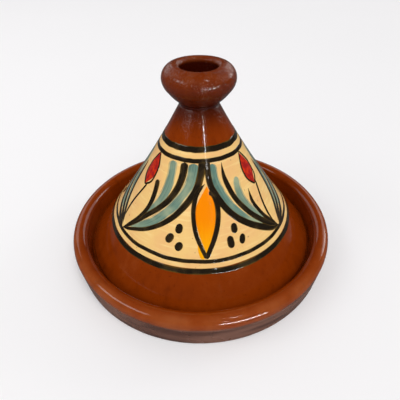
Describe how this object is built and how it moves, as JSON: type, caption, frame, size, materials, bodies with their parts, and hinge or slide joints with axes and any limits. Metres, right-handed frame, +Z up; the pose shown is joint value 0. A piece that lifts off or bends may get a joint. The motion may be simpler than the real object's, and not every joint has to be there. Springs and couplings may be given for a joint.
{
  "type": "tagine pot",
  "caption": "Small glazed terracotta tagine: a shallow round dish with a rolled rim, and a conical lid with a cup-shaped knob that sits inside the rim and lifts off.",
  "frame": {"origin": "middle of the flat foot that the dish stands on", "axes": "+Z up along the pot's axis of turning; -Y faces the side where a tent-shaped panel of the painting is centred"},
  "size_m": [0.16, 0.16, 0.1147],
  "materials": {
    "dish_glaze": "clear glaze over terracotta, duller on the outer wall",
    "lid_glaze": "clear glossy glaze over terracotta with a cream painted band",
    "knob_glaze": "clear glossy glaze over terracotta"
  },
  "bodies": {
    "dish": {"base_dish": "dish_glaze"},
    "lid": {"lid_cone": "lid_glaze", "lid_knob": "knob_glaze"}
  },
  "joints": [
    {"name": "lid_lift", "type": "slide", "parent": "dish", "child": "lid", "axis": [0, 0, 1], "range_m": [0, 0.12]}
  ]
}
